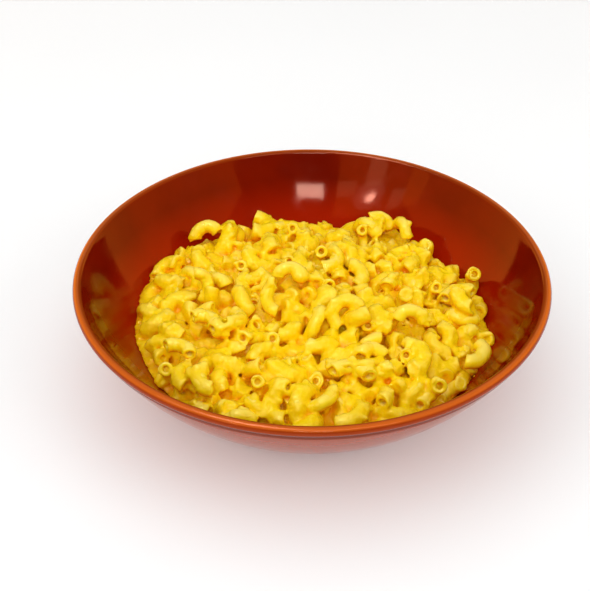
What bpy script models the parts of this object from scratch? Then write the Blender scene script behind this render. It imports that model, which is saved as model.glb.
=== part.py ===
"""Macaroni and cheese in its shallow glazed terracotta bowl.

Units are metres and +Z is up. The origin is on the surface that the bowl
stands on, in the middle of its foot, and -Y is the diner's side.

Two separate pieces: the turned bowl, and the heap of elbow macaroni in cheese
sauce, which lies in the bowl as one closed body out to its uneven outline.
"""

import math

import bmesh
import bpy
import numpy as np

# Bowl, driving dimensions
RIM_RADIUS = 0.125
HEIGHT = 0.064
LIP_RADIUS = 0.0025
WALL_ANGLE = math.radians(62.55)
OUTER_SWEEP_RADIUS = 0.1573
FLOOR_THICKNESS = 0.0070
FLOOR_BLEND_RADIUS = 0.022
FOOT_RING_WIDTH = 0.0060
FOOT_EDGE_RADIUS = 0.0012
RECESS_DEPTH = 0.0025
TURN_STEPS = 60

# Heap, driving dimensions
HEAP_RADIUS = 0.0962
HEAP_CENTRE = (0.0015, -0.0030)
HEAP_CROWN = 0.0485
HEAP_SHOULDER = 0.0385
SHOULDER_RADIUS = 0.085
EDGE_ROUNDING = 0.011
GAP_TO_BOWL = 0.0004
GRID_CELLS = 104
SURFACE_SHARE_KEPT = 0.245
UNDERSIDE_ROWS = 3

# Broad clumps and dips in the top: place x and y, rise, spread
CLUMPS = (
    (-0.062, 0.056, 0.0046, 0.020),
    (-0.084, 0.020, 0.0042, 0.018),
    (-0.088, -0.012, 0.0026, 0.015),
    (-0.012, 0.012, 0.0020, 0.020),
    (0.016, -0.012, 0.0018, 0.014),
    (0.044, 0.074, 0.0056, 0.022),
    (0.086, -0.014, 0.0032, 0.017),
    (-0.010, -0.066, 0.0016, 0.024),
    (0.050, -0.058, 0.0018, 0.014),
    (-0.052, -0.058, 0.0014, 0.015),
    (-0.044, 0.020, -0.0030, 0.009),
    (-0.008, -0.024, -0.0028, 0.007),
    (0.026, -0.030, -0.0024, 0.007),
    (0.050, -0.080, -0.0028, 0.008),
    (-0.032, -0.084, -0.0026, 0.008),
    (0.006, 0.066, -0.0022, 0.009),
)

# Lumps of the outline: direction in degrees from +X, reach, half width in degrees
OUTLINE_LUMPS = (
    (-2.0, 0.0022, 12.0),
    (17.0, 0.0016, 5.0),
    (36.0, -0.0052, 11.0),
    (62.0, 0.0020, 8.0),
    (88.0, -0.0038, 8.0),
    (113.0, 0.0020, 7.0),
    (133.0, 0.0012, 7.0),
    (148.0, -0.0024, 6.0),
    (160.0, 0.0014, 6.0),
    (186.0, -0.0016, 8.0),
    (218.0, -0.0026, 7.0),
    (238.0, 0.0018, 6.0),
    (262.0, 0.0020, 9.0),
    (300.0, -0.0022, 6.0),
    (318.0, 0.0016, 7.0),
)

# Elbow macaroni that shape the top
NOODLE_COUNT = 215
NOODLE_RADIUS = 0.0033
NOODLE_BEND_RADIUS = 0.0069
NOODLE_SWEEP = (math.radians(110.0), math.radians(200.0))
NOODLE_LIFT = (-0.0030, 0.0008)
HOLLOW_BETWEEN_NOODLES = 0.0034
NOODLE_SEED = 17


def clear_scene():
    for obj in list(bpy.data.objects):
        bpy.data.objects.remove(obj, do_unlink=True)


def make_collection(name):
    collection = bpy.data.collections.new(name)
    bpy.context.scene.collection.children.link(collection)
    return collection


def make_material(name, colour, roughness):
    material = bpy.data.materials.new(name)
    material.use_nodes = True
    shader = material.node_tree.nodes["Principled BSDF"]
    shader.inputs["Base Color"].default_value = (*colour, 1.0)
    shader.inputs["Roughness"].default_value = roughness
    shader.inputs["Metallic"].default_value = 0.0
    return material


def add_object(name, mesh, material, collection):
    mesh.materials.append(material)
    obj = bpy.data.objects.new(name, mesh)
    collection.objects.link(obj)
    return obj


def sweep_centre():
    """Centre, as radius and height, of the arc that both faces of the wall follow."""
    reach = OUTER_SWEEP_RADIUS - LIP_RADIUS
    return (
        RIM_RADIUS - LIP_RADIUS - reach * math.sin(WALL_ANGLE),
        HEIGHT - LIP_RADIUS + reach * math.cos(WALL_ANGLE),
    )


def arc_points(centre, radius, start, end, steps):
    """Points of an arc in the radius and height plane, both ends included."""
    angles = [start + (end - start) * i / steps for i in range(steps + 1)]
    return [
        (centre[0] + radius * math.cos(a), centre[1] + radius * math.sin(a))
        for a in angles
    ]


def inner_face(offset):
    """The hollow's sweep radius, floor height and blend centre, moved inwards by offset."""
    centre = sweep_centre()
    radius = OUTER_SWEEP_RADIUS - 2.0 * LIP_RADIUS - offset
    floor = RECESS_DEPTH + FLOOR_THICKNESS + offset
    blend = FLOOR_BLEND_RADIUS - offset
    rise = centre[1] - floor - blend
    blend_centre = (centre[0] + math.sqrt((radius - blend) ** 2 - rise**2), floor + blend)
    return radius, floor, blend, blend_centre


def hollow_height(r, offset):
    """Height of the bowl's inner face at radius r, moved inwards by offset."""
    centre = sweep_centre()
    radius, floor, blend, blend_centre = inner_face(offset)
    slope = math.atan2(centre[1] - blend_centre[1], blend_centre[0] - centre[0])
    blend_end = blend_centre[0] + blend * math.cos(slope)
    if r <= blend_centre[0]:
        return floor
    if r < blend_end:
        return blend_centre[1] - math.sqrt(blend**2 - (r - blend_centre[0]) ** 2)
    return centre[1] - math.sqrt(radius**2 - (r - centre[0]) ** 2)


def bowl_profile():
    """Half section: up the inner face from the axis, over the lip, down to the foot."""
    centre = sweep_centre()
    radius, floor, blend, blend_centre = inner_face(0.0)
    slope = math.atan2(centre[1] - blend_centre[1], blend_centre[0] - centre[0])
    lip_centre = (RIM_RADIUS - LIP_RADIUS, HEIGHT - LIP_RADIUS)
    lip_side = math.pi / 2.0 - WALL_ANGLE

    points = [(0.0, floor)]
    points += arc_points(blend_centre, blend, -math.pi / 2.0, -slope, 4)
    points += arc_points(centre, radius, -slope, -lip_side, 8)[1:]
    points += arc_points(lip_centre, LIP_RADIUS, math.pi - lip_side, -lip_side, 7)[1:]

    foot_drop = centre[1] - FOOT_EDGE_RADIUS
    foot_angle = -math.asin(foot_drop / OUTER_SWEEP_RADIUS)
    points += arc_points(centre, OUTER_SWEEP_RADIUS, -lip_side, foot_angle, 9)[1:]
    foot_side, foot_top = points[-1]
    foot_round = (foot_side - FOOT_EDGE_RADIUS, foot_top)
    points += arc_points(foot_round, FOOT_EDGE_RADIUS, 0.0, -math.pi / 2.0, 2)[1:]

    ring_inner = foot_side - FOOT_RING_WIDTH
    points.append((ring_inner, 0.0))
    points.append((ring_inner - RECESS_DEPTH, RECESS_DEPTH))
    points.append((0.0, RECESS_DEPTH))
    return points


def make_bowl(collection):
    """The bowl, its half section turned about the vertical axis."""
    profile = bowl_profile()
    mesh = bpy.data.meshes.new("bowl")
    edges = [(i, i + 1) for i in range(len(profile) - 1)]
    mesh.from_pydata([(r, 0.0, z) for r, z in profile], edges, [])
    glaze = make_material("terracotta_glaze", (0.24, 0.035, 0.006), 0.12)
    bowl = add_object("bowl", mesh, glaze, collection)
    turn = bowl.modifiers.new("turn", "SCREW")
    turn.axis = "Z"
    turn.angle = math.tau
    turn.steps = TURN_STEPS
    turn.render_steps = TURN_STEPS
    turn.use_merge_vertices = True
    turn.merge_threshold = 0.0001
    turn.use_smooth_shade = True
    return bowl


def outline_radius(angle):
    """The heap's reach from its own centre in the direction angle."""
    reach = HEAP_RADIUS
    for degrees, rise, width in OUTLINE_LUMPS:
        turn = math.degrees(angle) - degrees
        turn = (turn + 180.0) % 360.0 - 180.0
        reach += rise * math.exp(-((turn / width) ** 2))
    return reach


def scatter_noodles():
    """Elbows over the top as rows of centre x, centre y, first angle, sweep, lift."""
    rng = np.random.default_rng(NOODLE_SEED)
    golden = math.pi * (3.0 - math.sqrt(5.0))
    noodles = []
    for i in range(NOODLE_COUNT):
        spread = HEAP_RADIUS * math.sqrt((i + 0.5) / NOODLE_COUNT)
        turn = i * golden + rng.uniform(-0.2, 0.2)
        noodles.append(
            (
                HEAP_CENTRE[0] + spread * math.cos(turn),
                HEAP_CENTRE[1] + spread * math.sin(turn),
                rng.uniform(0.0, math.tau),
                rng.uniform(*NOODLE_SWEEP),
                rng.uniform(*NOODLE_LIFT),
            )
        )
    return np.array(noodles)


def noodle_relief(x, y, noodles):
    """Rise of the top at x and y where an elbow lies there."""
    away_x = x - noodles[:, 0]
    away_y = y - noodles[:, 1]
    turn = np.mod(np.arctan2(away_y, away_x) - noodles[:, 2], math.tau)
    past = np.where(turn <= noodles[:, 3], 0.0, 1.0)
    nearer_end = np.where(turn < (noodles[:, 3] + math.tau) / 2.0, noodles[:, 3], 0.0)
    end = noodles[:, 2] + nearer_end
    along = np.hypot(away_x, away_y) - NOODLE_BEND_RADIUS
    to_end = np.hypot(
        away_x - NOODLE_BEND_RADIUS * np.cos(end),
        away_y - NOODLE_BEND_RADIUS * np.sin(end),
    )
    distance = np.where(past > 0.0, to_end, np.abs(along))
    across = np.clip(1.0 - (distance / NOODLE_RADIUS) ** 2, 0.0, 1.0)
    rise = noodles[:, 4] + NOODLE_RADIUS * np.sqrt(across)
    rise = np.where(across > 0.0, rise, -HOLLOW_BETWEEN_NOODLES)
    return float(np.max(rise))


def heap_top(x, y, noodles):
    """Height of the heap's top away from its edge."""
    r = math.hypot(x - HEAP_CENTRE[0], y - HEAP_CENTRE[1])
    z = HEAP_CROWN - (HEAP_CROWN - HEAP_SHOULDER) * (r / SHOULDER_RADIUS) ** 2
    for place_x, place_y, rise, spread in CLUMPS:
        z += rise * math.exp(-((x - place_x) ** 2 + (y - place_y) ** 2) / spread**2)
    return z - NOODLE_RADIUS / 3.0 + noodle_relief(x, y, noodles)


def square_to_disc(u, v):
    """Polar place on the unit disc of a point of the square from -1 to 1."""
    if u == 0.0 and v == 0.0:
        return 0.0, 0.0
    if abs(u) >= abs(v):
        turn = math.pi / 4.0 * v / u
        return abs(u), turn if u > 0.0 else turn + math.pi
    turn = math.pi / 2.0 - math.pi / 4.0 * u / v
    return abs(v), turn if v > 0.0 else turn + math.pi


def heap_place(share, angle):
    """Plan x and y at a share of the outline's reach."""
    reach = share * outline_radius(angle)
    return (
        HEAP_CENTRE[0] + reach * math.cos(angle),
        HEAP_CENTRE[1] + reach * math.sin(angle),
    )


def make_top(noodles):
    """The heap's upper face as an open mesh, fine only where its relief needs it."""
    bm = bmesh.new()
    bmesh.ops.create_grid(bm, x_segments=GRID_CELLS, y_segments=GRID_CELLS, size=1.0)
    for vert in bm.verts:
        share, angle = square_to_disc(vert.co.x, vert.co.y)
        x, y = heap_place(share, angle)
        edge_x, edge_y = heap_place(1.0, angle)
        edge_z = hollow_height(math.hypot(edge_x, edge_y), GAP_TO_BOWL)
        inside = min(outline_radius(angle) * (1.0 - share) / EDGE_ROUNDING, 1.0)
        rounding = math.sqrt(1.0 - (1.0 - inside) ** 2)
        z = edge_z + (heap_top(x, y, noodles) - edge_z) * rounding
        vert.co = (x, y, z)
    fine = bpy.data.meshes.new("heap_top")
    bm.to_mesh(fine)
    bm.free()

    helper = bpy.data.objects.new("heap_top", fine)
    bpy.context.scene.collection.objects.link(helper)
    thin = helper.modifiers.new("thin", "DECIMATE")
    thin.ratio = SURFACE_SHARE_KEPT
    graph = bpy.context.evaluated_depsgraph_get()
    top = bpy.data.meshes.new_from_object(helper.evaluated_get(graph))
    bpy.data.objects.remove(helper, do_unlink=True)
    return top


def make_heap(collection):
    """The heap: its lumpy top, closed underneath along the bowl's inner face."""
    bm = bmesh.new()
    bm.from_mesh(make_top(scatter_noodles()))
    rim = [edge for edge in bm.edges if edge.is_boundary]
    for vert in {vert for edge in rim for vert in edge.verts}:
        vert.co.z = hollow_height(math.hypot(vert.co.x, vert.co.y), GAP_TO_BOWL)

    _, _, _, blend_centre = inner_face(GAP_TO_BOWL)
    for row in range(UNDERSIDE_ROWS):
        grown = bmesh.ops.extrude_edge_only(bm, edges=rim)["geom"]
        rim = [item for item in grown if isinstance(item, bmesh.types.BMEdge)]
        rows_left = UNDERSIDE_ROWS - row
        for vert in [item for item in grown if isinstance(item, bmesh.types.BMVert)]:
            r = math.hypot(vert.co.x, vert.co.y)
            inwards = r + (blend_centre[0] - r) / rows_left
            vert.co.x *= inwards / r
            vert.co.y *= inwards / r
            vert.co.z = hollow_height(inwards, GAP_TO_BOWL)
    bmesh.ops.edgeloop_fill(bm, edges=rim)
    bmesh.ops.recalc_face_normals(bm, faces=bm.faces)

    mesh = bpy.data.meshes.new("macaroni_heap")
    bm.to_mesh(mesh)
    bm.free()
    mesh.shade_smooth()
    mesh.set_sharp_from_angle(angle=math.radians(60.0))
    cheese = make_material("cheese_sauce", (0.83, 0.46, 0.012), 0.35)
    return add_object("macaroni_heap", mesh, cheese, collection)


def main():
    clear_scene()
    collection = make_collection("mac_and_cheese")
    make_bowl(collection)
    make_heap(collection)


main()
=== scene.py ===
"""Looks of a bowl of mac and cheese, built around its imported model.

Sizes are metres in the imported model's frame: +Z is up, the bowl's foot stands on
z = 0, and -Y is the diner's side. The bowl is turned again with a finer surface.
The heap becomes loose elbows that settle on a smaller core, and the cheese sauce
that coats them and fills the dips between them.
"""

import logging
import math
from dataclasses import dataclass, field
from enum import Enum

import bpy
import numpy as np
import openvdb
from mathutils import Matrix, Vector


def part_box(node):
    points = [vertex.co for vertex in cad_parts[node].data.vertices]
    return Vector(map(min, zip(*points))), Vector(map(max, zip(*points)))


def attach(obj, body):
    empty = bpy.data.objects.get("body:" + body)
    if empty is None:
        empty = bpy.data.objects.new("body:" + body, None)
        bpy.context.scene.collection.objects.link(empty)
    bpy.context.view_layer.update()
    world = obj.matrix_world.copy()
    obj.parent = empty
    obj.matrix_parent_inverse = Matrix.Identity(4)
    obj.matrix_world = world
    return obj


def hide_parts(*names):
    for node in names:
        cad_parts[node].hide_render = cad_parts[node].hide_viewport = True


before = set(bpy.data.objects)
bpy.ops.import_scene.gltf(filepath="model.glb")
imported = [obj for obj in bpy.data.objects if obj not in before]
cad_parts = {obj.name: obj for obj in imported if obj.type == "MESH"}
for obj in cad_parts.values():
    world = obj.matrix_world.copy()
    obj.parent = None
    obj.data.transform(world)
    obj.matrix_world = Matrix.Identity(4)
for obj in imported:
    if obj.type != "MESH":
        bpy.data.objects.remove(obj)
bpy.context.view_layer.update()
BODY = "root"
LOG = logging.getLogger("mac_and_cheese")

MM = 0.001
TINY = 1e-9
GOLDEN_ANGLE = math.pi * (3.0 - math.sqrt(5.0))

Triple = tuple[float, float, float]
Colour = Triple
Pair = tuple[float, float]
Socket = bpy.types.NodeSocket


# ---------------------------------------------------------------- mesh helpers


def make_piece(name: str, verts: np.ndarray, *faces: np.ndarray) -> bpy.types.Object:
    """Makes a smooth mesh object from arrays and links it to the scene.

    Args:
        name: The piece's name.
        verts: Vertex places, one row each.
        faces: Batches of vertex numbers, one row for each face.

    Returns:
        The new object.
    """
    corners = np.concatenate([batch.ravel() for batch in faces]).astype(np.int32)
    sizes = np.concatenate([np.full(len(batch), batch.shape[1]) for batch in faces])
    starts = (np.cumsum(sizes) - sizes).astype(np.int32)
    mesh = bpy.data.meshes.new(name)
    mesh.vertices.add(len(verts))
    mesh.vertices.foreach_set("co", np.ascontiguousarray(verts, np.float32).ravel())
    mesh.loops.add(len(corners))
    mesh.loops.foreach_set("vertex_index", corners)
    mesh.polygons.add(len(sizes))
    mesh.polygons.foreach_set("loop_start", starts)
    mesh.update(calc_edges=True)
    mesh.validate()
    mesh.shade_smooth()
    obj = bpy.data.objects.new(name, mesh)
    bpy.context.scene.collection.objects.link(obj)
    return obj


def ring_bands(rings: int, around: int) -> np.ndarray:
    """Quads that join each ring of a stack to the next.

    Args:
        rings: How many rings there are.
        around: How many vertices each has.

    Returns:
        Vertex numbers, one row for each face.
    """
    row = np.arange(around)
    after = (row + 1) % around
    low = np.arange(rings - 1)[:, None] * around
    high = low + around
    return np.stack([low + row, high + row, high + after, low + after], axis=-1).reshape(-1, 4)


def ring_ends(rings: int, around: int) -> np.ndarray:
    """Triangles that close a stack of rings at two tips, the next vertices after the rings.

    Args:
        rings: How many rings there are.
        around: How many vertices each has.

    Returns:
        Vertex numbers, one row for each face.
    """
    row = np.arange(around)
    after = (row + 1) % around
    tip = np.full_like(row, rings * around)
    last = (rings - 1) * around
    first_fan = np.stack([tip, row, after], axis=1)
    return np.vstack([first_fan, np.stack([tip + 1, last + after, last + row], axis=1)])


def store_values(obj: bpy.types.Object, name: str, values: np.ndarray) -> None:
    """Stores one number for each vertex of a piece, for its material to read."""
    attribute = obj.data.attributes.new(name, "FLOAT", "POINT")
    attribute.data.foreach_set("value", np.ascontiguousarray(values, np.float32))


def finish_piece(obj: bpy.types.Object, material: bpy.types.Material) -> bpy.types.Object:
    """Gives a piece its material and its body.

    Args:
        obj: The piece.
        material: Its material.

    Returns:
        The same piece.
    """
    obj.data.materials.append(material)
    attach(obj, BODY)
    return obj


# ------------------------------------------------------------ shared node groups


class NodeGroups:
    """Effects that more than one material uses, each a shader node group built once."""

    def __init__(self) -> None:
        """Builds every group."""
        self.mottle = self._build_mottle()
        self.relief = self._build_relief()

    @staticmethod
    def _new(name: str, inputs: dict[str, float], output: str) -> bpy.types.ShaderNodeTree:
        """Makes an empty group with float inputs and one float output.

        Args:
            name: The group's name.
            inputs: Input names with their usual values.
            output: The output's name.

        Returns:
            The group.
        """
        group = bpy.data.node_groups.new(name, "ShaderNodeTree")
        for label, value in inputs.items():
            socket = group.interface.new_socket(label, in_out="INPUT", socket_type="NodeSocketFloat")
            socket.default_value = value
        group.interface.new_socket(output, in_out="OUTPUT", socket_type="NodeSocketFloat")
        return group

    def _build_mottle(self) -> bpy.types.ShaderNodeTree:
        """Soft patches from 0 to 1, as wide as one over Scale metres.

        Returns:
            The group.
        """
        inputs = {"Scale": 100.0, "Detail": 2.0, "Low": 0.35, "High": 0.65}
        group = self._new("soft_mottle", inputs, "Mask")
        nodes, links = group.nodes, group.links
        source = nodes.new("NodeGroupInput")
        sink = nodes.new("NodeGroupOutput")
        place = nodes.new("ShaderNodeTexCoord")
        noise = nodes.new("ShaderNodeTexNoise")
        spread = nodes.new("ShaderNodeMapRange")
        spread.interpolation_type = "SMOOTHSTEP"
        links.new(place.outputs["Object"], noise.inputs["Vector"])
        links.new(source.outputs["Scale"], noise.inputs["Scale"])
        links.new(source.outputs["Detail"], noise.inputs["Detail"])
        links.new(noise.outputs["Fac"], spread.inputs["Value"])
        links.new(source.outputs["Low"], spread.inputs["From Min"])
        links.new(source.outputs["High"], spread.inputs["From Max"])
        links.new(spread.outputs["Result"], sink.inputs["Mask"])
        return group

    def _build_relief(self) -> bpy.types.ShaderNodeTree:
        """A height made of a broad swell and a finer grain on top of it.

        Returns:
            The group.
        """
        inputs = {"Swell Scale": 120.0, "Grain Scale": 700.0, "Grain Share": 0.3}
        group = self._new("fine_relief", inputs, "Height")
        nodes, links = group.nodes, group.links
        source = nodes.new("NodeGroupInput")
        sink = nodes.new("NodeGroupOutput")
        place = nodes.new("ShaderNodeTexCoord")
        swell = nodes.new("ShaderNodeTexNoise")
        swell.inputs["Detail"].default_value = 1.0
        grain = nodes.new("ShaderNodeTexNoise")
        grain.inputs["Detail"].default_value = 3.0
        scaled = nodes.new("ShaderNodeMath")
        scaled.operation = "MULTIPLY_ADD"
        for noise, label in ((swell, "Swell Scale"), (grain, "Grain Scale")):
            links.new(place.outputs["Object"], noise.inputs["Vector"])
            links.new(source.outputs[label], noise.inputs["Scale"])
        links.new(grain.outputs["Fac"], scaled.inputs[0])
        links.new(source.outputs["Grain Share"], scaled.inputs[1])
        links.new(swell.outputs["Fac"], scaled.inputs[2])
        links.new(scaled.outputs["Value"], sink.inputs["Height"])
        return group


class MaterialBench:
    """A new material with its shader, and short ways to add the nodes that feed it."""

    def __init__(self, name: str) -> None:
        """Starts a material with one Principled shader.

        Args:
            name: The material's name.
        """
        self.material = bpy.data.materials.new(name)
        self.material.use_nodes = True
        self.nodes = self.material.node_tree.nodes
        self.links = self.material.node_tree.links
        self.shader = self.nodes["Principled BSDF"]

    def set(self, **values: float | tuple[float, ...]) -> None:
        """Sets plain values on the shader, with _ in place of each space."""
        for label, value in values.items():
            self.shader.inputs[label.replace("_", " ")].default_value = value

    def feed(self, socket: str, output: Socket) -> None:
        """Joins an output to one of the shader's inputs."""
        self.links.new(output, self.shader.inputs[socket])

    def group(self, tree: bpy.types.ShaderNodeTree, **values: float) -> Socket:
        """Places a shared group with its own values.

        Args:
            tree: The group.
            values: Input values, with _ in place of each space.

        Returns:
            The group's one output.
        """
        node = self.nodes.new("ShaderNodeGroup")
        node.node_tree = tree
        for label, value in values.items():
            node.inputs[label.replace("_", " ")].default_value = value
        return node.outputs[0]

    def mix(self, mask: Socket, low: Socket | Colour, high: Socket | Colour) -> Socket:
        """Mixes two colours by a mask.

        Args:
            mask: From 0 to 1.
            low: The colour, or a socket, where the mask is 0.
            high: The colour, or a socket, where the mask is 1.

        Returns:
            The mixed colour.
        """
        node = self.nodes.new("ShaderNodeMix")
        node.data_type = "RGBA"
        self.links.new(mask, node.inputs["Factor"])
        for value, socket in ((low, node.inputs[6]), (high, node.inputs[7])):
            if isinstance(value, Socket):
                self.links.new(value, socket)
            else:
                socket.default_value = (*value, 1.0)
        return node.outputs[2]

    def span(self, value: Socket, start: Pair, to: Pair = (0.0, 1.0)) -> Socket:
        """Maps a value from one range to another, held at the ends.

        Args:
            value: The value to map.
            start: Its range.
            to: The range that it becomes.

        Returns:
            The mapped value.
        """
        node = self.nodes.new("ShaderNodeMapRange")
        self.links.new(value, node.inputs["Value"])
        for label, limit in zip(("From Min", "From Max", "To Min", "To Max"), (*start, *to)):
            node.inputs[label].default_value = limit
        return node.outputs["Result"]

    def height_of_point(self) -> Socket:
        """The surface point's height above the table."""
        return self._z_of(self.nodes.new("ShaderNodeTexCoord").outputs["Object"])

    def upwards(self) -> Socket:
        """How far the surface faces up: 1 where it is level, 0 where it is upright."""
        return self._z_of(self.nodes.new("ShaderNodeNewGeometry").outputs["Normal"])

    def _z_of(self, vector: Socket) -> Socket:
        """The Z of a vector.

        Args:
            vector: The vector's socket.

        Returns:
            Its third number.
        """
        split = self.nodes.new("ShaderNodeSeparateXYZ")
        self.links.new(vector, split.inputs["Vector"])
        return split.outputs["Z"]

    def stored(self, name: str) -> Socket:
        """Reads a number that store_values put on the mesh.

        Args:
            name: The attribute's name.

        Returns:
            The number.
        """
        node = self.nodes.new("ShaderNodeAttribute")
        node.attribute_name = name
        return node.outputs["Fac"]

    def bump(self, height: Socket, depth: float, strength: float) -> None:
        """Feeds the shader's normal from a height.

        Args:
            height: The height's socket.
            depth: Metres that a height of 1 stands up.
            strength: From 0 to 1.
        """
        node = self.nodes.new("ShaderNodeBump")
        node.inputs["Distance"].default_value = depth
        node.inputs["Strength"].default_value = strength
        self.links.new(height, node.inputs["Height"])
        self.feed("Normal", node.outputs["Normal"])


# --------------------------------------------------------------------- finishes


@dataclass(frozen=True)
class GlazeFinish:
    """Glossy reddish-brown glaze, thin and lighter over the lip, where the lighter colour is also a
    painted highlight, with a bare clay foot.
    """

    body: Colour = (0.155, 0.0034, 0.0001)
    deep: Colour = (0.120, 0.0015, 0.0001)
    low: Colour = (0.310, 0.0080, 0.0002)
    # Lighter over the lip: thinner glaze, raised further as a painted highlight
    lip: Colour = (0.54, 0.100, 0.010)
    outside: Colour = (0.33, 0.040, 0.003)
    # Painted shade: a darker band in the groove straight under the lip
    painted_shade_under_lip: Colour = (0.17, 0.020, 0.004)
    sheen: Colour = (1.0, 0.44, 0.32)
    clay: Colour = (0.52, 0.24, 0.12)
    roughness: float = 0.065
    worn: float = 0.07
    low_range: Pair = (0.050, 0.030)
    clay_top: float = 0.0008

    def build(self, groups: NodeGroups) -> bpy.types.Material:
        """Builds the glaze's material.

        Args:
            groups: The shared node groups.

        Returns:
            The material.
        """
        bench = MaterialBench("terracotta_glaze")
        patches = bench.group(groups.mottle, Scale=26.0, Detail=3.0, Low=0.38, High=0.66)
        glaze = bench.mix(patches, self.body, self.deep)
        height = bench.height_of_point()
        glaze = bench.mix(bench.span(height, self.low_range), glaze, self.low)
        zones = {"outside": self.outside, "lip": self.lip, "painted_shade_under_lip": self.painted_shade_under_lip}
        for zone, colour in zones.items():
            glaze = bench.mix(bench.stored(zone), glaze, colour)
        at_foot = bench.span(height, (self.clay_top * 0.5, self.clay_top), (1.0, 0.0))
        bench.feed("Base Color", bench.mix(at_foot, glaze, self.clay))
        wear = bench.group(groups.mottle, Scale=90.0, Detail=4.0, Low=0.45, High=0.75)
        roughness = bench.span(wear, (0.0, 1.0), (self.roughness, self.roughness + self.worn))
        bench.feed("Roughness", roughness)
        bench.set(IOR=1.35, Specular_Tint=(*self.sheen, 1.0))
        ripple = bench.group(groups.relief, Swell_Scale=34.0, Grain_Scale=420.0, Grain_Share=0.04)
        bench.bump(ripple, depth=0.0005, strength=0.42)
        return bench.material


@dataclass(frozen=True, kw_only=True)
class FoodFinish:
    """What pasta and sauce share: painted shade, a deeper hue on their sides and in their dips, and a
    soft, wet look.
    """

    # Painted shade on sides and undersides, by how far the surface faces up
    below: Colour
    # Painted shade in dips, by the stored shelter
    painted_shade_in_dips: Colour
    roughness: float
    drier: float
    painted_shade_below_range: Pair = (0.18, -0.52)
    painted_shade_dip_range: Pair = (0.53, 0.78)
    sheen: Colour = (1.0, 0.90, 0.52)
    scatter: Colour = (1.0, 0.75, 0.35)

    def dress(self, bench: MaterialBench, tops: Socket, dry: Socket) -> None:
        """Feeds the shader everything but its bump.

        Args:
            bench: The material's bench.
            tops: The food's colour on its open tops.
            dry: Where its surface is drier, from 0 to 1.
        """
        # Painted shade: a deeper colour where the surface faces sideways or down
        food = bench.mix(bench.span(bench.upwards(), self.painted_shade_below_range), tops, self.below)
        # Painted shade: a deeper colour in dips, where much of the heap is close round
        dip_shade_mask = bench.span(bench.stored("shelter"), self.painted_shade_dip_range)
        bench.feed("Base Color", bench.mix(dip_shade_mask, food, self.painted_shade_in_dips))
        roughness = bench.span(dry, (0.0, 1.0), (self.roughness, self.roughness + self.drier))
        bench.feed("Roughness", roughness)
        bench.set(Subsurface_Weight=0.15, Subsurface_Scale=0.0020, Subsurface_Radius=self.scatter)
        bench.set(IOR=1.42, Specular_IOR_Level=0.32, Specular_Tint=(*self.sheen, 1.0))


@dataclass(frozen=True, kw_only=True)
class PastaFinish(FoodFinish):
    """Soft cooked pasta, stained by the sauce that clings to it, with a painted highlight on its level
    tops.
    """

    name: str
    plain: Colour
    sauced: Colour
    roughness: float = 0.16
    drier: float = 0.12
    # Painted highlight: a paler colour on level tops
    pale: Colour = (0.94, 0.700, 0.125)
    # Painted shade on sides and undersides
    below: Colour = (0.89, 0.33, 0.0006)
    # Painted shade in dips
    painted_shade_in_dips: Colour = (0.85, 0.30, 0.0004)
    painted_highlight_range: Pair = (0.55, 1.0)
    most_painted_highlight: float = 0.75

    def build(self, groups: NodeGroups) -> bpy.types.Material:
        """Builds the pasta's material.

        Args:
            groups: The shared node groups.

        Returns:
            The material.
        """
        bench = MaterialBench(self.name)
        film = bench.group(groups.mottle, Scale=170.0, Detail=3.0, Low=0.40, High=0.62)
        pasta = bench.mix(film, self.plain, self.sauced)
        # Painted highlight on the tops that face up
        level = bench.span(bench.upwards(), self.painted_highlight_range, (0.0, self.most_painted_highlight))
        self.dress(bench, bench.mix(level, pasta, self.pale), film)
        grain = bench.group(groups.relief, Swell_Scale=260.0, Grain_Scale=1100.0, Grain_Share=0.35)
        bench.bump(grain, depth=0.0006, strength=0.6)
        return bench.material


@dataclass(frozen=True, kw_only=True)
class SauceFinish(FoodFinish):
    """Wet cheese sauce, with painted shade in its dips and on its sides, and a painted highlight on its
    humps that face up.
    """

    light: Colour = (0.915, 0.622, 0.003)
    deep: Colour = (0.905, 0.585, 0.001)
    # Painted highlight: a paler colour on humps that face up
    painted_highlight_on_humps: Colour = (0.94, 0.695, 0.088)
    # Painted shade on sides and undersides
    below: Colour = (0.89, 0.33, 0.0004)
    # Painted shade in dips
    painted_shade_in_dips: Colour = (0.85, 0.30, 0.0003)
    painted_highlight_hump_range: Pair = (0.24, 0.40)
    painted_highlight_top_range: Pair = (0.45, 0.95)
    most_painted_highlight: float = 0.8
    roughness: float = 0.17
    drier: float = 0.20

    def build(self, groups: NodeGroups) -> bpy.types.Material:
        """Builds the sauce's material.

        Args:
            groups: The shared node groups.

        Returns:
            The material.
        """
        bench = MaterialBench("cheese_sauce")
        patches = bench.group(groups.mottle, Scale=95.0, Detail=3.0, Low=0.40, High=0.64)
        # Painted highlight on exposed humps, where they face up
        painted_highlight_mask = bench.span(bench.stored("shelter"), self.painted_highlight_hump_range, (self.most_painted_highlight, 0.0))
        pale = bench.mix(painted_highlight_mask, self.light, self.painted_highlight_on_humps)
        sauce = bench.mix(patches, self.light, self.deep)
        tops = bench.mix(bench.span(bench.upwards(), self.painted_highlight_top_range), sauce, pale)
        dry = bench.group(groups.mottle, Scale=150.0, Detail=2.0, Low=0.35, High=0.70)
        self.dress(bench, tops, dry)
        curd = bench.group(groups.relief, Swell_Scale=330.0, Grain_Scale=1300.0, Grain_Share=0.4)
        bench.bump(curd, depth=0.0008, strength=0.7)
        return bench.material


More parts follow.
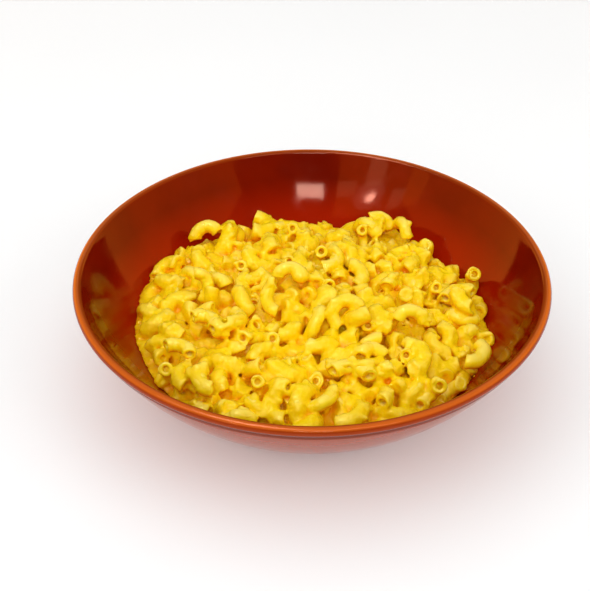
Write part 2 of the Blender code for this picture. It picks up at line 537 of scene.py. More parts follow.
@dataclass(frozen=True)
class FloorFinish:
    """Plain matt off-white paper."""

    light: Colour = (0.97, 0.97, 0.97)
    dark: Colour = (0.955, 0.955, 0.955)

    def build(self, groups: NodeGroups) -> bpy.types.Material:
        """Builds the floor's material.

        Args:
            groups: The shared node groups.

        Returns:
            The material.
        """
        bench = MaterialBench("studio_paper")
        patches = bench.group(groups.mottle, Scale=3.0, Detail=2.0, Low=0.3, High=0.7)
        bench.feed("Base Color", bench.mix(patches, self.light, self.dark))
        bench.set(Roughness=0.9, Specular_IOR_Level=0.1)
        return bench.material


# ------------------------------------------------------------------------- bowl


@dataclass
class Bowl:
    """The turned bowl: one arc for both faces of its wall, a half-round lip and a low foot."""

    rim_radius: float = 0.125
    height: float = 0.0639
    lip_radius: float = 0.0025
    wall_angle: float = math.radians(62.55)
    sweep_radius: float = 0.1573
    floor_thickness: float = 0.0070
    blend_radius: float = 0.022
    ring_width: float = 0.0060
    foot_edge: float = 0.0012
    recess_depth: float = 0.0025
    groove_reach: float = 0.0052
    groove_depth: float = 0.0006
    turn_steps: int = 224
    wall_steps: int = 22
    lip_steps: int = 16
    groove_steps: int = 14
    # The lip's lighter colour, partly thinner glaze and partly a painted highlight: how fast
    # it ends, how far it reaches in lip radii, and how much of it is on the lip's inner side
    lip_fade: float = 3.2
    lip_cover: float = 1.7
    lip_inside: float = 0.25
    # How sharply the painted shade in the groove under the lip starts and ends
    groove_edges: Pair = (12.0, 3.0)
    finish: GlazeFinish = field(default_factory=GlazeFinish)

    @classmethod
    def from_frame(cls) -> "Bowl":
        """Takes the bowl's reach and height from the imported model, just inside its box."""
        _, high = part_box("bowl")
        return cls(rim_radius=high.x - 0.02 * MM, height=high.z)

    @property
    def sweep_centre(self) -> Pair:
        """Radius and height of the centre of the wall's arc."""
        reach = self.sweep_radius - self.lip_radius
        return (
            self.rim_radius - self.lip_radius - reach * math.sin(self.wall_angle),
            self.height - self.lip_radius + reach * math.cos(self.wall_angle),
        )

    @property
    def hollow_radius(self) -> float:
        """Radius of the inner face's arc."""
        return self.sweep_radius - 2.0 * self.lip_radius

    @property
    def lip_side(self) -> float:
        """Angle on the wall's arc at which the lip starts, down from level."""
        return math.pi / 2.0 - self.wall_angle

    @property
    def floor_height(self) -> float:
        """Height of the inside floor."""
        return self.recess_depth + self.floor_thickness

    def clearance(self, x: np.ndarray, y: np.ndarray, z: np.ndarray) -> np.ndarray:
        """Distance from points in the hollow to the wall or floor, below 0 past them.

        Args:
            x: The points' places along X.
            y: Their places along Y.
            z: Their heights.

        Returns:
            The distances.
        """
        centre = self.sweep_centre
        to_wall = self.hollow_radius - np.hypot(np.hypot(x, y) - centre[0], z - centre[1])
        return np.minimum(to_wall, z - self.floor_height)

    def inner_height(self, r: np.ndarray) -> np.ndarray:
        """Height of the inner face.

        Args:
            r: Distances from the axis.

        Returns:
            The height at each.
        """
        centre = self.sweep_centre
        drop = np.sqrt(np.maximum(self.hollow_radius**2 - (r - centre[0]) ** 2, 0.0))
        return np.maximum(centre[1] - drop, self.floor_height)

    def profile(self) -> np.ndarray:
        """Half section from the axis up the inside, over the lip and down to the foot.

        Returns:
            Radius and height of each point.
        """
        centre = self.sweep_centre
        hollow = self.hollow_radius
        lip_side = self.lip_side
        rise = centre[1] - self.floor_height - self.blend_radius
        run = math.sqrt((hollow - self.blend_radius) ** 2 - rise**2)
        blend_centre = (centre[0] + run, self.floor_height + self.blend_radius)
        slope = math.atan2(rise, blend_centre[0] - centre[0])
        lip_centre = (self.rim_radius - self.lip_radius, self.height - self.lip_radius)
        foot_angle = -math.asin((centre[1] - self.foot_edge) / self.sweep_radius)
        groove_end = -lip_side - self.groove_reach / self.sweep_radius

        points = [(blend_centre[0] * share, self.floor_height) for share in (0.0, 0.4, 0.8, 1.0)]
        points += self._arc(blend_centre, self.blend_radius, (-math.pi / 2.0, -slope), 7)
        points += self._arc(centre, hollow, (-slope, -lip_side), self.wall_steps)
        points += self._arc(lip_centre, self.lip_radius, (math.pi - lip_side, -lip_side), self.lip_steps)
        points += self._groove(-lip_side, groove_end)
        points += self._arc(centre, self.sweep_radius, (groove_end, foot_angle), self.wall_steps)
        foot_side, foot_top = points[-1]
        edge_centre = (foot_side - self.foot_edge, foot_top)
        points += self._arc(edge_centre, self.foot_edge, (0.0, -math.pi / 2.0), 5)
        ring_inner = foot_side - self.ring_width
        recess_centre = (ring_inner - self.recess_depth, 0.0)
        points.append((ring_inner, 0.0))
        points += self._arc(recess_centre, self.recess_depth, (0.0, math.pi / 2.0), 6)
        points += [(ring_inner * share, self.recess_depth) for share in (0.6, 0.0)]
        return np.array(points)

    @staticmethod
    def _arc(middle: Pair, radius: float, turn: Pair, steps: int) -> list[Pair]:
        """Points of an arc, without its first."""
        turns = (turn[0] + (turn[1] - turn[0]) * (i + 1) / steps for i in range(steps))
        return [(middle[0] + radius * math.cos(a), middle[1] + radius * math.sin(a)) for a in turns]

    def _groove(self, start: float, end: float) -> list[Pair]:
        """The shallow groove that runs round the outside, straight under the lip.

        Args:
            start: Where it starts on the wall's arc, in radians.
            end: Where it ends.

        Returns:
            The points, without the first.
        """
        centre = self.sweep_centre
        points = []
        for share in (np.arange(self.groove_steps) + 1) / self.groove_steps:
            radius = self.sweep_radius - self.groove_depth * math.sin(math.pi * share**0.7) ** 2
            angle = start + (end - start) * share
            points.append((centre[0] + radius * math.cos(angle), centre[1] + radius * math.sin(angle)))
        return points

    def build(self, groups: NodeGroups) -> bpy.types.Object:
        """Turns the half section about the axis and dresses it.

        Args:
            groups: The shared node groups.

        Returns:
            The piece.
        """
        profile = self.profile()
        turning = profile[1:-1]
        angles = np.arange(self.turn_steps) * math.tau / self.turn_steps
        rings = np.stack(
            [
                np.outer(turning[:, 0], np.cos(angles)),
                np.outer(turning[:, 0], np.sin(angles)),
                np.repeat(turning[:, 1:2], self.turn_steps, axis=1),
            ],
            axis=-1,
        ).reshape(-1, 3)
        tips = np.array([[0.0, 0.0, profile[0, 1]], [0.0, 0.0, profile[-1, 1]]])
        bands = ring_bands(len(turning), self.turn_steps)
        ends = ring_ends(len(turning), self.turn_steps)
        bowl = make_piece("glazed_bowl", np.vstack([rings, tips]), bands, ends)
        self._store_zones(bowl, turning)
        finish_piece(bowl, self.finish.build(groups))
        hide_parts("bowl")
        return bowl

    def _store_zones(self, bowl: bpy.types.Object, turning: np.ndarray) -> None:
        """Stores where the lip, the groove and the outside are, for the glaze: painted shade in the
        groove, and a lip colour that is partly a painted highlight.

        Args:
            bowl: The turned piece.
            turning: The half section's points that make its rings.
        """
        centre = self.sweep_centre
        r, z = turning[:, 0], turning[:, 1]
        radial = np.hypot(r - centre[0], z - centre[1])
        outwards = (radial - self.hollow_radius) / (2.0 * self.lip_radius)
        outside = np.clip(outwards * 2.0 - 1.0, 0.0, 1.0)
        on_top = np.clip(self.lip_fade * (z - self.height) / self.lip_radius + self.lip_cover, 0.0, 1.0)
        beside = (r - self.rim_radius) / self.lip_radius + self.lip_cover
        lip_glaze_and_painted_highlight = on_top * np.clip(beside, self.lip_inside, 1.0)
        down = np.arctan2(centre[1] - z, r - centre[0])
        below = (down - self.lip_side) * self.sweep_radius / self.groove_reach
        starts = np.clip(below * self.groove_edges[0] + 1.0, 0.0, 1.0)
        ends = np.clip((1.0 - below) * self.groove_edges[1], 0.0, 1.0)
        # The groove under the lip gets painted shade, where the lip shades the wall
        painted_shade_under_lip = starts * ends * (outside > 0.5)
        zones = (("outside", outside, 1.0), ("lip", lip_glaze_and_painted_highlight, 0.0), ("painted_shade_under_lip", painted_shade_under_lip, 0.0))
        for name, zone, under_foot in zones:
            store_values(bowl, name, np.append(np.repeat(zone, self.turn_steps), [0.0, under_foot]))


# ------------------------------------------------------------------------- heap


class Lie(Enum):
    """How a placed elbow lies, as the diner sees it."""

    FACE_ON = "its bend faces the diner's eye"
    FLAT = "its bend lies level"
    ARCH = "it stands as an arch"
    MOUTH = "one open end faces the diner's eye"


# The way from the dish to the diner's eye
EYE = Vector((0.0, -0.8134, 0.5817))
# How wide an elbow's bore is, as a share of the tube, and where the middle of its arc
# is from the arc's centre, as a share of the bend
BORE_SHARE = 0.45
ARC_MIDDLE = 0.45


@dataclass(frozen=True)
class PlacedElbow:
    """An elbow that is set one by one.

    place is x and y on the plan in millimetres, rise is how far its middle, or its
    mouth, is above the heap's top, and turn is in degrees, anticlockwise.
    """

    place: Pair
    lie: Lie
    turn: float
    rise: float = 0.0
    bend: float = 6.9
    sweep: float = 160.0
    radius: float = 3.3

    def rotation(self) -> np.ndarray:
        """The elbow's rotation. Unturned, its arc lies in XY with its apex at +X.

        Returns:
            A 3 by 3 matrix.
        """
        turn = Matrix.Rotation(math.radians(self.turn), 3, "Z")
        if self.lie is Lie.FLAT:
            return np.array(turn)
        if self.lie is Lie.ARCH:
            stand = Matrix(((0.0, 0.0, 1.0), (0.0, 1.0, 0.0), (1.0, 0.0, 0.0)))
            return np.array(turn @ stand)
        right = Vector((1.0, 0.0, 0.0))
        above = EYE.cross(right)
        facing = Matrix((right, above, EYE)).transposed()
        if self.lie is Lie.FACE_ON:
            return np.array(facing @ turn)
        half = math.radians(self.sweep) / 2.0
        out = Vector((-math.sin(half), math.cos(half), 0.0))
        side = Vector((math.cos(half), math.sin(half), 0.0))
        local = Matrix((side, out.cross(side) * -1.0, out)).transposed()
        return np.array(facing @ turn @ local.inverted())

    def arc_centre(self, anchored_at: np.ndarray, rotation: np.ndarray) -> np.ndarray:
        """The place of the arc's centre.

        Args:
            anchored_at: Where the elbow's middle, or its mouth, is.
            rotation: The elbow's rotation.

        Returns:
            The centre.
        """
        bend = self.bend * MM
        if self.lie is Lie.MOUTH:
            half = math.radians(self.sweep) / 2.0
            anchor = np.array([math.cos(half), math.sin(half), 0.0]) * bend
        else:
            anchor = np.array([ARC_MIDDLE * bend, 0.0, 0.0])
        return anchored_at - rotation @ anchor


@dataclass
class Elbows:
    """A batch of elbows: each is an arc of tube with its own bend, place and rotation."""

    bend: np.ndarray
    sweep: np.ndarray
    radius: np.ndarray
    bore: np.ndarray
    centre: np.ndarray
    rotation: np.ndarray

    def __len__(self) -> int:
        """How many elbows there are."""
        return len(self.bend)

    def joined_to(self, others: "Elbows") -> "Elbows":
        """This batch with another after it."""
        pairs = zip(vars(self).values(), vars(others).values())
        return Elbows(*(np.concatenate(pair) for pair in pairs))


# Humps and hollows of the heap: x, y, rise and spread in millimetres
CLUMPS = (
    (-64.0, 58.0, 6.0, 22.0),
    (-86.0, 24.0, 6.0, 20.0),
    (-88.0, -12.0, 2.6, 15.0),
    (-12.0, 12.0, 1.6, 20.0),
    (16.0, -12.0, 1.6, 14.0),
    (44.0, 74.0, 6.0, 22.0),
    (-18.0, 80.0, 1.5, 20.0),
    (86.0, -14.0, 3.4, 17.0),
    (-10.0, -66.0, 1.6, 24.0),
    (50.0, -58.0, 1.8, 14.0),
    (-52.0, -58.0, 1.4, 15.0),
    (-44.0, 26.0, -4.0, 9.0),
    (-9.0, -20.0, -4.5, 7.0),
    (21.0, -26.0, -4.0, 6.0),
    (52.0, -82.0, -4.0, 8.0),
    (-30.0, -88.0, -4.0, 8.0),
    (28.0, 10.0, -3.0, 6.0),
    (-22.0, 42.0, -3.5, 7.0),
    (46.0, 58.0, -3.0, 7.0),
    (-8.0, -52.0, -2.5, 7.0),
)


@dataclass
class HeapShape:
    """The heap's broad form, which both the core and the elbows follow."""

    middle: Pair = (0.0015, -0.0030)
    crown: float = 0.0480
    shoulder: float = 0.0385
    shoulder_radius: float = 0.085
    reach: float = 0.0962

    def top(self, x: np.ndarray, y: np.ndarray) -> np.ndarray:
        """Height of the heap's top.

        Args:
            x: Places along X.
            y: Places along Y.

        Returns:
            The height at each.
        """
        r = np.hypot(x - self.middle[0], y - self.middle[1])
        height = self.crown - (self.crown - self.shoulder) * (r / self.shoulder_radius) ** 2
        for place_x, place_y, rise, spread in CLUMPS:
            away = (x - place_x * MM) ** 2 + (y - place_y * MM) ** 2
            height = height + rise * MM * np.exp(-away / (spread * MM) ** 2)
        return height


# Elbows that stand out in the dish
PLACED = (
    PlacedElbow((16.0, -21.0), Lie.FACE_ON, 135.0, 4.0, bend=7.2, sweep=215.0, radius=3.7),
    PlacedElbow((5.0, 34.0), Lie.MOUTH, 80.0, 3.5, radius=3.6),
    PlacedElbow((29.0, -31.0), Lie.MOUTH, 110.0, 3.0, radius=3.4),
    PlacedElbow((63.0, -69.0), Lie.MOUTH, 50.0, 4.5, radius=4.0),
    PlacedElbow((-73.0, -57.0), Lie.MOUTH, 130.0, 3.0, radius=3.7),
    PlacedElbow((68.0, 8.0), Lie.MOUTH, 60.0, 2.5),
    PlacedElbow((-13.0, 24.0), Lie.MOUTH, 100.0, 2.0),
    PlacedElbow((-39.0, 28.0), Lie.MOUTH, 120.0, 2.0),
    PlacedElbow((9.0, 2.0), Lie.MOUTH, 70.0, 1.5),
    PlacedElbow((-11.0, 66.0), Lie.MOUTH, 90.0, 1.5),
    PlacedElbow((29.0, 62.0), Lie.MOUTH, 100.0, 1.5),
    PlacedElbow((48.0, -50.0), Lie.MOUTH, 75.0, 2.0),
    PlacedElbow((-26.0, -70.0), Lie.MOUTH, 100.0, 2.0),
    PlacedElbow((-62.0, 64.0), Lie.FACE_ON, 110.0, -1.5, bend=7.2, sweep=150.0, radius=3.8),
    PlacedElbow((90.0, 25.0), Lie.MOUTH, 92.0, 5.0, bend=9.0, sweep=90.0, radius=3.8),
    PlacedElbow((83.0, -42.0), Lie.FLAT, 330.0, 3.0, bend=8.4, sweep=140.0, radius=4.0),
    PlacedElbow((80.0, 2.0), Lie.FLAT, 110.0, 2.0, bend=10.0, sweep=110.0, radius=3.8),
    PlacedElbow((-55.0, -27.0), Lie.FLAT, 50.0, 4.0, bend=7.6, sweep=150.0, radius=3.7),
    PlacedElbow((-68.0, -46.0), Lie.FLAT, 60.0, 3.5, bend=9.0, sweep=110.0, radius=3.7),
    PlacedElbow((20.0, -66.0), Lie.FLAT, 80.0, 3.5, bend=10.5, sweep=120.0, radius=4.1),
    PlacedElbow((-19.0, -10.0), Lie.FACE_ON, 185.0, 2.5, bend=8.4, sweep=130.0, radius=3.5),
    PlacedElbow((52.0, -22.0), Lie.FACE_ON, 80.0, 3.0, sweep=170.0, radius=3.6),
    PlacedElbow((-60.0, 8.0), Lie.FACE_ON, 20.0, 2.0, sweep=150.0),
    PlacedElbow((-12.0, 8.0), Lie.FACE_ON, 95.0, 3.5, bend=6.6, sweep=150.0, radius=3.6),
    PlacedElbow((53.0, 68.0), Lie.ARCH, 20.0, -1.0, bend=8.0, sweep=130.0, radius=3.6),
    PlacedElbow((40.0, 76.0), Lie.FACE_ON, 60.0, -4.0, bend=8.5, sweep=110.0, radius=3.6),
    PlacedElbow((-34.0, -88.0), Lie.ARCH, 100.0, 0.0, bend=7.0, sweep=120.0, radius=3.8),
    PlacedElbow((-50.0, -66.0), Lie.FLAT, 200.0, 2.0, bend=9.0, sweep=120.0, radius=3.9),
)


@dataclass
class Settling:
    """Lets seeded elbows fall on the core and shuffle until they lie on each other."""

    bowl: Bowl
    shape: HeapShape
    count: int = 262
    seed: int = 5
    # Bend, tube radius and first height over the core in millimetres, sweep in degrees
    bends: Pair = (7.0, 9.2)
    radii: Pair = (3.45, 4.15)
    heights: Pair = (8.0, 30.0)
    sweeps: Pair = (90.0, 175.0)
    tilt: float = 0.85
    spread: float = 0.94
    core_depth: float = 0.0160
    steps: int = 150
    passes: int = 3
    steps_between_searches: int = 4
    beads: int = 5
    fall: float = 0.00012
    carry: Triple = (0.45, 0.45, 0.80)
    softness: float = 0.95
    push: float = 0.3
    search_reach: float = 9.5 * MM
    wall_gap: float = 0.3 * MM

    def strew(self, rng: np.random.Generator) -> Elbows:
        """Makes the loose elbows above the core, spread by a golden spiral.

        Args:
            rng: The seeded source of chance.

        Returns:
            The elbows before they fall.
        """
        n = self.count
        bend = rng.uniform(*self.bends, n) * MM
        sweep = np.radians(rng.uniform(*self.sweeps, n))
        radius = rng.uniform(*self.radii, n) * MM
        place = np.arange(n)
        away = self.shape.reach * self.spread * np.sqrt((place + 0.5) / n)
        x = self.shape.middle[0] + away * np.cos(place * GOLDEN_ANGLE)
        y = self.shape.middle[1] + away * np.sin(place * GOLDEN_ANGLE)
        centre = np.stack([x, y, self.core_top(x, y) + rng.uniform(*self.heights, n) * MM], axis=1)
        rotation = np.empty((n, 3, 3))
        for i in range(n):
            yaw = Matrix.Rotation(rng.uniform(0.0, math.tau), 3, "Z")
            pitch = Matrix.Rotation(rng.normal(0.0, self.tilt), 3, "Y")
            roll = Matrix.Rotation(rng.normal(0.0, self.tilt), 3, "X")
            rotation[i] = np.array(yaw @ pitch @ roll)
        return Elbows(bend, sweep, radius, radius * BORE_SHARE, centre, rotation)

    def core_top(self, x: np.ndarray, y: np.ndarray) -> np.ndarray:
        """Height of the core's top at x and y."""
        return self.shape.top(x, y) - self.core_depth

    def place_by_hand(self) -> Elbows:
        """The elbows of PLACED, which don't move.

        Returns:
            The elbows, in the order of PLACED.
        """
        centres, rotations = [], []
        for elbow in PLACED:
            x, y = elbow.place[0] * MM, elbow.place[1] * MM
            z = float(self.shape.top(np.array(x), np.array(y))) + elbow.rise * MM
            rotations.append(elbow.rotation())
            centres.append(elbow.arc_centre(np.array([x, y, z]), rotations[-1]))
        return Elbows(
            np.array([elbow.bend * MM for elbow in PLACED]),
            np.array([math.radians(elbow.sweep) for elbow in PLACED]),
            np.array([elbow.radius * MM for elbow in PLACED]),
            np.array([elbow.radius * BORE_SHARE * MM for elbow in PLACED]),
            np.array(centres),
            np.array(rotations),
        )

    def run(self) -> tuple[Elbows, int]:
        """Settles the loose elbows round the placed ones, each as a row of beads.

        Returns:
            All the elbows, the placed ones first, and how many are placed.
        """
        rng = np.random.default_rng(self.seed)
        placed, loose = self.place_by_hand(), self.strew(rng)
        held = len(placed)
        elbows = placed.joined_to(loose)
        turns = np.linspace(-0.5, 0.5, self.beads)[None, :] * elbows.sweep[:, None]
        arcs = np.stack([np.cos(turns), np.sin(turns), np.zeros_like(turns)], axis=-1)
        beads = arcs * elbows.bend[:, None, None]
        middle = beads.mean(axis=1, keepdims=True)
        rest = beads - middle
        now = elbows.centre[:, None, :] + np.einsum("nij,nkj->nki", elbows.rotation, beads)
        fixed = now[:held].copy()
        before = now.copy()
        size = np.repeat(elbows.radius * self.softness, self.beads)
        owner = np.repeat(np.arange(len(elbows)), self.beads)
        near = (np.empty(0, int), np.empty(0, int))
        for step in range(self.steps):
            drift = (now - before) * np.array(self.carry)
            before = now.copy()
            now = now + drift
            now[..., 2] -= self.fall
            if step % self.steps_between_searches == 0:
                near = self._neighbours(now.reshape(-1, 3), owner)
            for _ in range(self.passes):
                points = self._push_apart(now.reshape(-1, 3), size, near)
                points = self._keep_inside(points, size)
                now, rotation = self._hold_shape(points.reshape(now.shape), rest)
                now[:held] = fixed
        centre = now.mean(axis=1) - np.einsum("nij,nj->ni", rotation, middle[:, 0])
        elbows.centre[held:] = centre[held:]
        elbows.rotation[held:] = rotation[held:]
        return elbows, held

    def _neighbours(self, points: np.ndarray, owner: np.ndarray) -> tuple[np.ndarray, np.ndarray]:
        """Pairs of beads of different elbows that could touch soon.

        Args:
            points: Every bead's place.
            owner: The number of each bead's elbow.

        Returns:
            The numbers of the first and of the second bead of each pair.
        """
        square = (points**2).sum(axis=1)
        apart = square[:, None] + square[None, :] - 2.0 * points @ points.T
        first, second = np.nonzero(np.triu(apart < self.search_reach**2, 1))
        other = owner[first] != owner[second]
        return first[other], second[other]

    def _push_apart(
        self, points: np.ndarray, size: np.ndarray, near: tuple[np.ndarray, np.ndarray]
    ) -> np.ndarray:
        """Moves beads that overlap away from each other.

        Args:
            points: Every bead's place.
            size: Every bead's radius.
            near: Pairs of beads that may touch.

        Returns:
            The new places.
        """
        first, second = near
        gap = points[first] - points[second]
        length = np.linalg.norm(gap, axis=1) + TINY
        overlap = size[first] + size[second] - length
        touching = overlap > 0.0
        first, second = first[touching], second[touching]
        move = gap[touching] / length[touching, None] * overlap[touching, None] * self.push
        total = np.empty_like(points)
        for axis in range(3):
            total[:, axis] = np.bincount(first, move[:, axis], len(points))
            total[:, axis] -= np.bincount(second, move[:, axis], len(points))
        return points + total

    def _keep_inside(self, points: np.ndarray, size: np.ndarray) -> np.ndarray:
        """Lifts beads out of the core and moves them off the bowl's wall.

        Args:
            points: Every bead's place, which is changed.
            size: Every bead's radius.

        Returns:
            The same places.
        """
        sunk = self.core_top(points[:, 0], points[:, 1]) + size - points[:, 2]
        points[:, 2] += np.maximum(sunk, 0.0)
        centre = self.bowl.sweep_centre
        r = np.hypot(points[:, 0], points[:, 1]) + TINY
        out, up = r - centre[0], points[:, 2] - centre[1]
        reach = np.hypot(out, up)
        past = np.maximum(reach - (self.bowl.hollow_radius - size - self.wall_gap), 0.0)
        inwards = -out / reach * past
        points[:, 0] += points[:, 0] / r * inwards
        points[:, 1] += points[:, 1] / r * inwards
        points[:, 2] -= up / reach * past
        return points

    @staticmethod
    def _hold_shape(points: np.ndarray, rest: np.ndarray) -> tuple[np.ndarray, np.ndarray]:
        """Moves each elbow's beads back to its own rigid shape where they now lie.

        Args:
            points: Every elbow's beads.
            rest: The same beads about their middle, unturned.

        Returns:
            The beads' new places, and each elbow's rotation.
        """
        middle = points.mean(axis=1, keepdims=True)
        spread = np.einsum("nki,nkj->nij", points - middle, rest)
        left, _, right = np.linalg.svd(spread)
        sign = np.linalg.det(left @ right)
        left[:, :, 2] *= sign[:, None]
        rotation = left @ right
        return middle + np.einsum("nij,nkj->nki", rotation, rest), rotation


@dataclass
class ElbowMesher:
    """Turns elbows into closed tubes with a bore, round lips and uneven soft walls."""

    around: int = 16
    along_outside: int = 13
    along_inside: int = 9
    lip: float = 0.35 * MM
    seed: int = 11
    chances: int = 8
    # Waves in the wall: depth as a share of the radius, turns along and round the tube
    waves: tuple[Triple, ...] = ((0.045, 1.7, 1.0), (0.035, 3.1, -2.0))
    flattening: float = 0.12
    twist: float = 0.1
    end_share: float = 0.12
    slant: float = 0.5
    skew: float = 1.4 * MM

    def build(self, name: str, elbows: Elbows, chosen: np.ndarray) -> bpy.types.Object:
        """Makes one piece of the chosen elbows.

        Args:
            name: The piece's name.
            elbows: The whole batch.
            chosen: Numbers of the elbows to take.

        Returns:
            The joined piece.
        """
        rng = np.random.default_rng(self.seed)
        chance = rng.uniform(0.0, 1.0, (len(elbows), self.chances))
        tubes = [self._tube(elbows, int(i), chance[i]) for i in chosen]
        single = self._faces()
        faces = [single + count * len(tube) for count, tube in enumerate(tubes)]
        return make_piece(name, np.vstack(tubes), np.vstack(faces))

    def _loop(self) -> tuple[np.ndarray, np.ndarray, np.ndarray]:
        """The wall's closed section, along the outside and back along the bore.

        Returns:
            For each point its share of the length, 1 outside or 0 inside, and 1 at a lip.
        """
        outside = np.concatenate([[0.0], np.linspace(0.03, 0.97, self.along_outside), [1.0]])
        inside = np.concatenate([[1.0], np.linspace(0.97, 0.03, self.along_inside), [0.0]])
        share = np.concatenate([outside, inside])
        wall = np.concatenate([np.ones(len(outside)), np.zeros(len(inside))])
        lip = (np.isclose(share, 0.0) | np.isclose(share, 1.0)).astype(float)
        return share, wall, lip

    def _faces(self) -> np.ndarray:
        """Quads of one tube, round the section and round the tube.

        Returns:
            Vertex numbers, one row for each face.
        """
        rings = len(self._loop()[0])
        ring, step = np.meshgrid(np.arange(rings), np.arange(self.around), indexing="ij")
        after_ring, after_step = (ring + 1) % rings, (step + 1) % self.around
        corners = (
            ring * self.around + step,
            ring * self.around + after_step,
            after_ring * self.around + after_step,
            after_ring * self.around + step,
        )
        return np.stack([corner.ravel() for corner in corners], axis=1)

    def _tube(self, elbows: Elbows, i: int, chance: np.ndarray) -> np.ndarray:
        """Vertices of one elbow, in place.

        Args:
            elbows: The whole batch.
            i: The elbow's number.
            chance: Its own random numbers from 0 to 1.

        Returns:
            One row for each vertex.
        """
        share, wall, lip = self._loop()
        length = share[:, None]
        turn = (np.arange(self.around) * math.tau / self.around)[None, :]
        radius, bore, bend = elbows.radius[i], elbows.bore[i], elbows.bend[i]
        out = np.where(wall > 0.5, radius - self.lip * lip, bore + self.lip * lip)[:, None]
        soft = np.zeros((len(share), self.around))
        for start, (depth, along, round_it) in zip(chance, self.waves):
            soft += depth * np.sin(math.tau * (length * along + start) + round_it * turn)
        out = out * (1.0 + soft)
        twist = chance[3] * math.tau * self.twist
        across = out * np.cos(turn + twist)
        beside = out * np.sin(turn + twist) * (1.0 - self.flattening * chance[2])
        from_end = np.minimum(share, 1.0 - share)[:, None]
        near_end = np.clip(1.0 - from_end / self.end_share, 0.0, 1.0)
        angle = (length - 0.5) * elbows.sweep[i]
        angle = angle + (chance[4] - 0.5) * self.slant * near_end * across / bend
        lift = (chance[5] - 0.5) * self.skew * np.sin(math.pi * (length - 0.5))
        reach = bend + across
        local = np.stack([reach * np.cos(angle), reach * np.sin(angle), beside + lift], axis=-1)
        return local.reshape(-1, 3) @ elbows.rotation[i].T + elbows.centre[i]


@dataclass
class Shelter:
    """How much of the heap is close round each place: low on humps, high in dips."""

    filled: np.ndarray
    low: np.ndarray
    voxel: float

    @classmethod
    def around(
        cls, distance: np.ndarray, low: np.ndarray, voxel: float, reach: float = 3.2 * MM
    ) -> "Shelter":
        """Blurs the heap's inside over a few millimetres.

        Args:
            distance: The heap's signed distance on a grid.
            low: The place of the grid's first point.
            voxel: The grid's spacing.
            reach: How far to blur.

        Returns:
            The blurred grid.
        """
        filled = np.clip(0.5 - distance / (2.0 * voxel), 0.0, 1.0)
        wide = int(reach / voxel)
        for _ in range(2):
            for axis in range(3):
                ends = [(wide + 1, wide) if k == axis else (0, 0) for k in range(3)]
                total = np.cumsum(np.pad(filled, ends, mode="edge"), axis=axis)
                count = filled.shape[axis]
                after = np.take(total, np.arange(2 * wide + 1, 2 * wide + 1 + count), axis=axis)
                before = np.take(total, np.arange(count), axis=axis)
                filled = (after - before) / (2 * wide + 1)
        return cls(filled, low, voxel)

    def store(self, piece: bpy.types.Object) -> None:
        """Stores the shelter at each vertex of a piece.

        Args:
            piece: The piece.
        """
        places = np.empty(3 * len(piece.data.vertices), np.float32)
        piece.data.vertices.foreach_get("co", places)
        cells = np.rint((places.reshape(-1, 3) - self.low) / self.voxel).astype(int)
        cells = np.clip(cells, 0, np.array(self.filled.shape) - 1)
        store_values(piece, "shelter", self.filled[cells[:, 0], cells[:, 1], cells[:, 2]])


